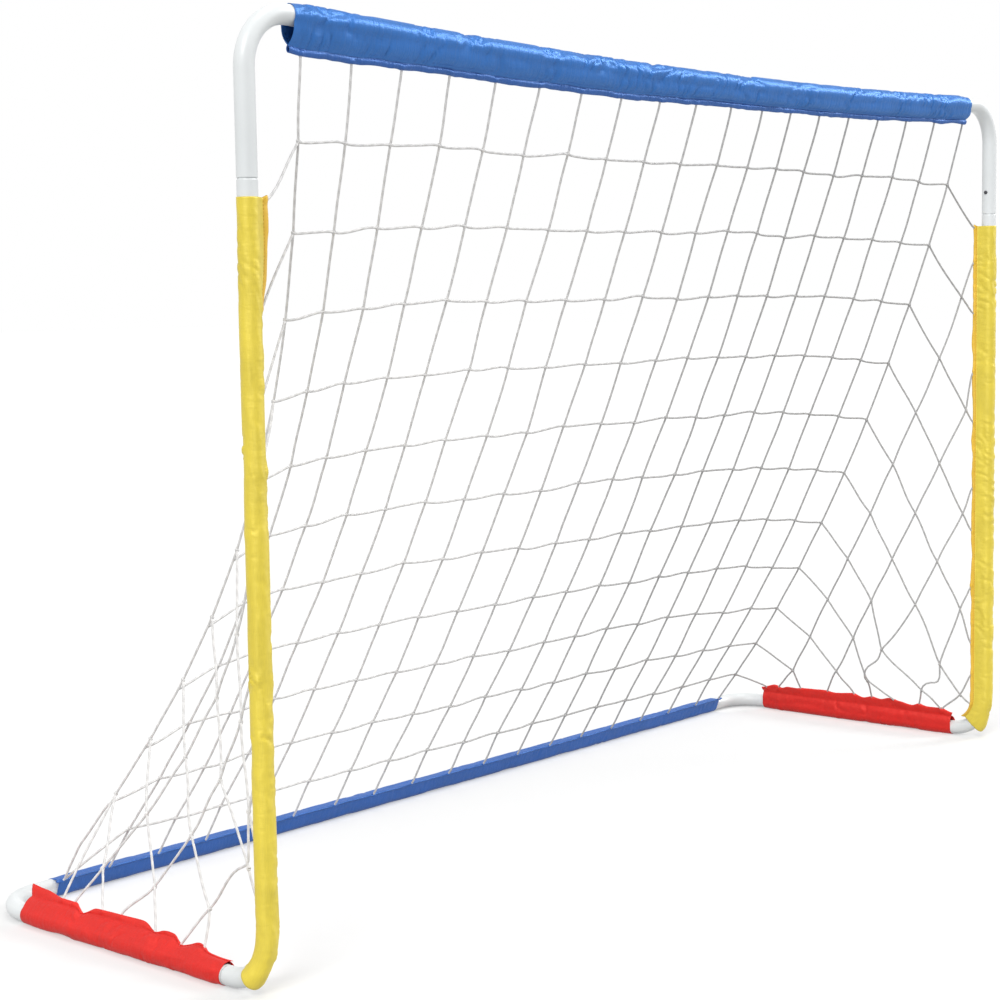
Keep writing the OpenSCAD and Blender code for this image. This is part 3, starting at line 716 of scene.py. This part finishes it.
def hung(s, c):
    """back_point, drawn aside and down as this net happens to hang between its ties."""
    u = 2 * c / CELLS_W - 1
    half, whole = math.sin(math.pi * s), math.sin(2 * math.pi * s)
    middle = 1 - u**4
    right = smooth((u - 0.1) / 0.4) * (1 - 0.5 * u**6)
    across = 12.8 * half * middle - 25 * right * (1 - s**3) * (1 - 0.5 * s) - 12.2 * (1 - s) * middle
    down = half * (6.2 + 6 * u) - whole * (3.3 + 5.3 * u) - 22.3 * s**6
    return back_point(s, c) + np.array([across, 0, 0]) + down * DOWN


def edge_point(r):
    return back_point(row_share(r), 0)


class Panel:
    """One side's net: its steps forward and down at the top and the bottom, how far it bows
    outwards, the heights at the post and places on the rail where its strands are sewn, its
    knots that hang loose, and the slack strands' points below them, as (y, z)."""

    def __init__(self, side, steps, bow, post, rail, loose, slack):
        self.side, self.bow = side, bow
        self.post, self.rail = post, rail
        self.loose, self.slack = loose, slack
        self.step, self.drop, self.step_low, self.drop_low = steps

    def lattice(self, r, j):
        if (r, j) in self.loose:
            return np.array([0.0, *self.loose[r, j]])
        low = (r / (ROWS + 1)) ** 2
        return edge_point(r) + j * np.array([0, -mix(self.step, self.step_low, low),
                                             -mix(self.drop, self.drop_low, low)])

    def on_panel(self, y, z, r):
        e = edge_point(r)
        across = min(1, max(0, (y - POST_HEM_Y) / (e[1] - POST_HEM_Y)))
        up = min(1, max(0, (z - SIDE_HEM_Z) / (BASE_Z + GOAL_H / 4 - SIDE_HEM_Z)))
        x = mix(mix(-SIDE_HEM_X, -POST_HEM_X, up), e[0], across * math.sqrt(up))
        x = x - self.bow * math.sin(math.pi * across) * up
        return np.array([-self.side * x, y, z])

    def knot(self, r, j):
        if j == 0:
            return hung(row_share(r), 0 if self.side < 0 else CELLS_W)
        return self.on_panel(*self.lattice(r, j)[1:], r)

    def holds(self, r, j):
        p = self.lattice(r, j)
        return (1 <= r <= ROWS and 1 <= j <= STEPS
                and p[1] > POST_HEM_Y + POST_MARGIN and p[2] > SIDE_HEM_Z + RAIL_MARGIN)

    def on_post(self, name, p, q):
        t = (p[1] - POST_HEM_Y) / (p[1] - q[1])
        z = self.post.get(name, mix(p[2], q[2], t))
        return "post", POST_TOP - min(POST_TOP - HEM_MARGIN, max(LOWEST_ON_POST, z))

    def on_rail(self, name, p, q):
        t = (p[2] - SIDE_HEM_Z) / (p[2] - q[2])
        y = min(SIDE_REAR - REAR_MARGIN, max(SIDE_FRONT + HEM_MARGIN, mix(p[1], q[1], t)))
        return "side", self.rail.get(name, y)

    def row_end(self, r, j):
        """Which hem row r meets after its step j, and where along it."""
        name, p, q = f"row {r}", self.lattice(r, j), self.lattice(r, j + 1)
        t = (p[1] - POST_HEM_Y) / (p[1] - q[1])
        above_rail = t * (p[2] - q[2]) < p[2] - SIDE_HEM_Z
        to_post = name in self.post or (name not in self.rail and above_rail)
        return self.on_post(name, p, q) if to_post else self.on_rail(name, p, q)

    def sagging(self, kind, n, a):
        return [self.on_panel(y, z, a) for y, z in self.slack.get((kind, n, a), [])]


LEFT = Panel(-1, (36, 117, 70, 49), 18,
             {"row 7": 59},
             {"column 1": 113, "row 10": 51, "column 2": 17, "row 9": -56, "column 3": -106, "row 8": -150},
             {(7, 3): (-216, 143), (8, 3): (-138, 77)},
             {("column", 3, 7): [(-201, 143), (-186, 136)], ("column", 3, 8): [(-122, 62), (-119, 47)]})
RIGHT = Panel(1, (26, 101, 51, 41), 0,
              {"row 1": 945, "row 2": 787, "row 3": 588, "row 4": 388, "row 5": 178, "row 6": 60,
               "column 1": 883, "column 2": 683, "column 3": 472, "column 4": 287},
              {"column 1": 171, "row 10": 117, "column 2": 57, "row 9": -5, "column 3": -43, "row 8": -93,
               "column 4": -145, "row 7": -191, "row 11": 198},
              {(7, 3): (-98, 160), (8, 3): (-54, 92), (6, 4): (-201, 138), (7, 4): (-161, 83)},
              {("column", 3, 7): [(-91, 139), (-62, 120), (-55, 104)], ("row", 7, 4): [(-185, 74)],
               ("column", 4, 6): [(-201, 112), (-197, 99), (-177, 103), (-163, 92)]})
LEFT_FOOT = 137  # where the left edge's strand is sewn to the red sleeve
LOWER_TIE = 15  # the back's rows are tied to the edge this far below the side's


class Net:
    """Strands from hem to hem, a wrapped knot where two cross, all tied to the sleeves."""

    def __init__(self, sleeves):
        self.sleeves = sleeves
        self.random = np.random.default_rng(7)
        self.nudge = self.random.normal(0, 1, (ROWS + 2, CELLS_W + 1, 2))

    def back_knot(self, r, c):
        p = hung(row_share(r), c)
        if 0 < c < CELLS_W:
            p = p + np.array([NUDGE, 0, 0]) * self.nudge[r, c, 0] + DOWN * NUDGE * self.nudge[r, c, 1]
        return p

    def hem(self, name, s):
        """Two points that lead a strand out of the hem of a sleeve."""
        sleeve = self.sleeves[name]
        sleeve.bulges.append(s)
        return [sleeve.hem_point(s, SEWN_IN), sleeve.hem_point(s, 0.0)]

    def side_hem(self, side, kind, s):
        return self.hem(kind + ("_left" if side < 0 else "_right"), s)

    def strand(self, knots, sag, stray, jog=None):
        """A line through the knots that sags and strays between them. jog offsets a row
        where it enters and leaves a knot, as it wraps round the column there."""
        line = []
        for a, b in zip(knots[:-1], knots[1:]):
            length = np.linalg.norm(b - a)
            if length < SHORTEST:
                line.append(a)
                continue
            t = np.linspace(0, 1, max(3, int(length / SPACING)), endpoint=False)[:, None]
            amount = sag * (0.4 + 0.6 * self.random.random()) * length / 100
            side = self.random.normal(0, 1, 3) * stray * length / 100
            ripple = self.random.normal(0, 1, 3) * stray * 0.6
            p = a + (b - a) * t + 4 * t * (1 - t) * (side + np.array([0, 0, -amount]))
            p = p + np.sin(2 * math.pi * t) * ripple
            if jog is not None:
                p = p + jog * (1 - 2 * t) * np.minimum(1, 8 * np.minimum(t, 1 - t) + 0.4)
            line += list(p)
        line = np.array([*line, knots[-1]])
        for _ in range(2):
            line[1:-1] = (line[:-2] + 2 * line[1:-1] + line[2:]) / 4
        return line

    def tie(self, strands, p, along, across):
        """A knot: one turn round the column, and one round the row."""
        along, across = unit(along), unit(across)
        out = unit(np.cross(along, across))
        turn = np.linspace(0, 2 * math.pi, 10, endpoint=False)[:, None]
        c, s = np.cos(turn), np.sin(turn)
        for (radius, thick, slant), a, b in zip(KNOT_TURNS, (across, along), (along, across)):
            strands.add(p + radius * (c * a + s * out) + slant * c * b, thick, closed=True)

    def column_line(self, c):
        """Column c, from the crossbar's hem to the rear bar's; the left edge ends on the red hem."""
        knots = [self.back_knot(r, c) for r in range(1, ROWS + 1)]
        crossbar, rear = self.sleeves["crossbar"], self.sleeves["rear"]
        top = self.hem("crossbar", min(max(hung(0.0, c)[0], crossbar.start + 6), crossbar.end - 8))
        if c == 0:
            return [*top, *knots[:-1], *reversed(self.side_hem(-1, "side", LEFT_FOOT))]
        foot = self.hem("rear", min(max(hung(1.0, c)[0], rear.start + 6), rear.end - 5))
        return [*top, *knots, *reversed(foot)]

    def row_line(self, r):
        """Row r, tied to the edges below the side's rows, or sewn to a hem where it has none."""
        knots = [self.back_knot(r, c) for c in range(CELLS_W + 1)]
        lower = LOWER_TIE * float(smooth((r - 4) / 2))
        knots[0] = knots[0] + lower * unit(self.back_knot(min(r + 1, ROWS), 0) - self.back_knot(r - 1, 0))
        if r >= ROWS - 1:
            corner = self.hem("rear", self.sleeves["rear"].start + 4 + 3 * (ROWS - r))
            knots = [*corner, *([self.back_knot(ROWS, 0)] if r < ROWS else []), *knots[r - ROWS + 1:]]
        return knots

    def back(self, material):
        strands = Strands(7)
        for c in range(CELLS_W + 1):
            strands.add(self.strand(self.column_line(c), 0.0, 0.4), TWINE_R)
        for r in range(1, ROWS + 1):
            strands.add(self.strand(self.row_line(r), 1.6, 0.8, ROW_JOG * DOWN), TWINE_R)
            for c in range(1 if r == ROWS else 0, CELLS_W + 1):
                p, q = self.back_knot(r, max(c - 1, 0)), self.back_knot(r, min(c + 1, CELLS_W))
                self.tie(strands, self.back_knot(r, c), DOWN, q - p)
        return strands.piece("back_net", material, "twine", "net_back")

    def side(self, panel, material):
        strands = Strands(7)
        for r in range(1, ROWS + 1):
            if panel is LEFT and r == ROWS:
                continue  # sewn to the rear bar's end instead
            steps = [0] + [j for j in range(1, STEPS + 1) if panel.holds(r, j)]
            end = self.side_hem(panel.side, *panel.row_end(r, steps[-1]))
            knots = [panel.knot(r, j) for j in steps] + panel.sagging("row", r, steps[-1])
            strands.add(self.strand([*knots, *reversed(end)], 1.2, 1.0), TWINE_R)
        for j in range(1, STEPS + 1):
            rows = [r for r in range(1, ROWS + 1) if panel.holds(r, j)]
            if not rows:
                continue
            name, first, last = f"column {j}", rows[0], rows[-1]
            head = panel.on_post(name, panel.lattice(first, j), panel.lattice(first - 1, j))
            line = self.side_hem(panel.side, *head)
            for r in rows:
                line += [panel.knot(r, j), *panel.sagging("column", j, r)]
            foot = panel.on_rail(name, panel.lattice(last, j), panel.lattice(last + 1, j))
            strands.add(self.strand([*line, *reversed(self.side_hem(panel.side, *foot))], 1.0, 1.0), TWINE_R)
            for r in rows:
                above, below = (panel.knot(n, j) if panel.holds(n, j) else None for n in (r - 1, r + 1))
                along = (below if below is not None else panel.knot(r, j)) - (
                    above if above is not None else panel.knot(r, j) + [0, 0, 10])
                self.tie(strands, panel.knot(r, j), along, panel.knot(r, j) - panel.knot(r, j - 1))
        side = "left" if panel.side < 0 else "right"
        return strands.piece(side + "_net", material, "twine", "net_" + side)


# ------------------------------------------------------------------ room
FLOOR_SIZE, FLOOR_TONE = 60.0, 0.52
# How brightly each glows for the rays that light other things, and for those that show it
FLOOR_GLOW, WORLD_GLOW = (0.0, 0.40), (0.42, 1.0)
LAMPS = {"key": ((-3.6, -1.6, 3.0), 1.9, 28), "top": ((0.2, -0.5, 4.0), 0.8, 30),
         "glint": ((3.0, -1.6, 1.9), 1.5, 20)}  # each one's place, strength and spread in degrees


def seen_glow(tree, glow):
    """A strength that is glow[1] for camera, glossy and transmission rays, and else glow[0]."""
    path = tree.nodes.new("ShaderNodeLightPath")
    seen = path.outputs["Is Camera Ray"]
    for kind in ("Is Glossy Ray", "Is Transmission Ray"):
        either = tree.nodes.new("ShaderNodeMath")
        either.operation = "MAXIMUM"
        tree.links.new(seen, either.inputs[0])
        tree.links.new(path.outputs[kind], either.inputs[1])
        seen = either.outputs[0]
    scale = tree.nodes.new("ShaderNodeMapRange")
    scale.inputs["To Min"].default_value = glow[0]
    scale.inputs["To Max"].default_value = glow[1]
    tree.links.new(seen, scale.inputs["Value"])
    return scale.outputs[0]


def make_floor():
    """A white floor that keeps the shadow."""
    mesh = bpy.data.meshes.new("floor")
    corners = [(x * FLOOR_SIZE, y * FLOOR_SIZE, 0) for x, y in ((-1, -1), (1, -1), (1, 1), (-1, 1))]
    mesh.from_pydata(corners, [], [(0, 1, 2, 3)])
    floor = bpy.data.objects.new("floor", mesh)
    bpy.context.collection.objects.link(floor)
    s = Shader("floor")
    s.fixed(Base_Color=(FLOOR_TONE, FLOOR_TONE, FLOOR_TONE, 1), Roughness=0.9, Specular_IOR_Level=0.0)
    s.fixed(Emission_Color=(1, 1, 1, 1))
    s.set(Emission_Strength=seen_glow(s.tree, FLOOR_GLOW))
    mesh.materials.append(s.material)


def make_world():
    world = bpy.data.worlds.new("world")
    bpy.context.scene.world = world
    world.use_nodes = True
    tree = world.node_tree
    light = tree.nodes["Background"]
    light.inputs["Color"].default_value = (1, 1, 1, 1)
    tree.links.new(seen_glow(tree, WORLD_GLOW), light.inputs["Strength"])


def make_lamps():
    for name, (place, strength, spread) in LAMPS.items():
        data = bpy.data.lights.new(name, "SUN")
        data.energy, data.angle = strength, math.radians(spread)
        lamp = bpy.data.objects.new(name, data)
        bpy.context.collection.objects.link(lamp)
        lamp.location = place
        lamp.rotation_euler = (-Vector(place)).to_track_quat("-Z", "Y").to_euler()


def paint(nodes, material):
    """Gives the carried-over CAD nodes their finish."""
    for name in nodes:
        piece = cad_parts[name]
        piece.data.materials.clear()
        piece.data.materials.append(material)


# ------------------------------------------------------------------ the scene
make_camera()
make_floor()
make_world()
make_lamps()

TUBE_NAMES = ("top_corner", "crossbar_tube", "rear_corner", "rear_bar", "post_left", "post_right")
tubes = [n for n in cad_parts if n.startswith(TUBE_NAMES)]
buttons = [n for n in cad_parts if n.startswith("button")]
clips = [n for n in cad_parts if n.startswith("clip")]
paint(tubes, powder_coat())
paint(buttons, metal("button_steel", (0.10, 0.10, 0.11), 0.45))
paint(clips, metal("spring_steel", (0.45, 0.45, 0.47), 0.35))

# The net comes first, because each sleeve's hem bulges where a strand is sewn in
sleeves = make_sleeves()
net, net_twine = Net(sleeves), twine()
net.back(net_twine)
net.side(LEFT, net_twine)
net.side(RIGHT, net_twine)

CLOTHS = {
    # The blue hem colour is darker than the body: painted shade where the hem faces down.
    "blue": (satin("blue_satin", (0.016, 0.135, 0.50), (0.012, 0.075, 0.36), (0.45, 0.75, 1.0),
                   shining=0.3, rough=0.42, crumpled=1.0, crumples=(150, 14)),
             thread("blue_thread", (0.03, 0.08, 0.36)), "blue_sleeve"),
    # A darker copy of the blue satin and thread for the rear sleeve: painted shade, as the rear bar lies
    # further back and lower.
    "blue_in_shade": (satin("blue_satin_in_shade", (0.014, 0.10, 0.47), (0.014, 0.09, 0.42), (0.45, 0.75, 1.0),
                   shining=0.2, rough=0.45, crumpled=0.6),
             thread("blue_thread_in_shade", (0.02, 0.06, 0.32)), "blue_sleeve"),
    # The yellow hem colour is darker and more orange than the body: painted shade on the posts' inner side,
    # where the hem lies.
    "yellow": (satin("yellow_satin", (0.82, 0.65, 0.06), (0.84, 0.50, 0.035), (1.0, 0.9, 0.45),
                     shining=0.05, rough=0.52, crumpled=0.45),
               thread("yellow_thread", (0.50, 0.36, 0.03)), "yellow_sleeve"),
    "red": (satin("red_satin", (0.74, 0.014, 0.012), (0.78, 0.016, 0.012), (1.0, 0.3, 0.25),
                  shining=0.05, rough=0.52, crumpled=0.7),
            thread("red_thread", (0.56, 0.014, 0.012)), "red_sleeve"),
}
# Each sleeve's cloth, and the tube that it rests on
DRESSES = {"crossbar": ("blue", "crossbar_tube"), "rear": ("blue_in_shade", "rear_bar"),
           "post_left": ("yellow", "post_left"), "post_right": ("yellow", "post_right"),
           "side_left": ("red", "rear_corner_left"), "side_right": ("red", "rear_corner_right")}
for which, (colour, tube) in DRESSES.items():
    cloth, sewing, slot = CLOTHS[colour]
    sleeves[which].build(cloth, sewing, slot, [tube])

bpy.context.scene.view_settings.view_transform = "Standard"

bpy.context.view_layer.update()
